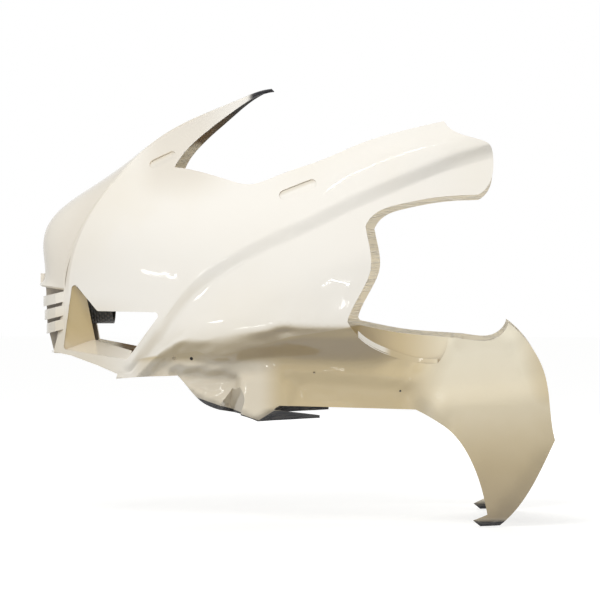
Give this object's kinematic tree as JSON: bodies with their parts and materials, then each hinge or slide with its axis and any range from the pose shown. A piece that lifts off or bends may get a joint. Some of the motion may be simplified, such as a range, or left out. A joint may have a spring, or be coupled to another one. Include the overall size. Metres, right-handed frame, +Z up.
{
  "type": "motorcycle front fairing",
  "caption": "Thin moulded front fairing of a sport motorcycle: pointed nose with ram-air mouth, side openings, screen cut-out, rear arms and drooping legs.",
  "frame": {"origin": "centre of the rear mouth of the round ram-air sleeve, in the middle plane", "axes": "+X rearwards along the sleeve, +Y to the machine's right, +Z up"},
  "size_m": [0.7519, 0.432, 0.626],
  "materials": {
    "gelcoat": "glossy cream gelcoat over laminate",
    "raw_laminate": "dark woven laminate, uncoated"
  },
  "bodies": {
    "root": {"fairing_shell": "gelcoat", "intake_duct": "raw_laminate", "left_inner_panel": "gelcoat", "right_inner_panel": "gelcoat"}
  },
  "joints": []
}
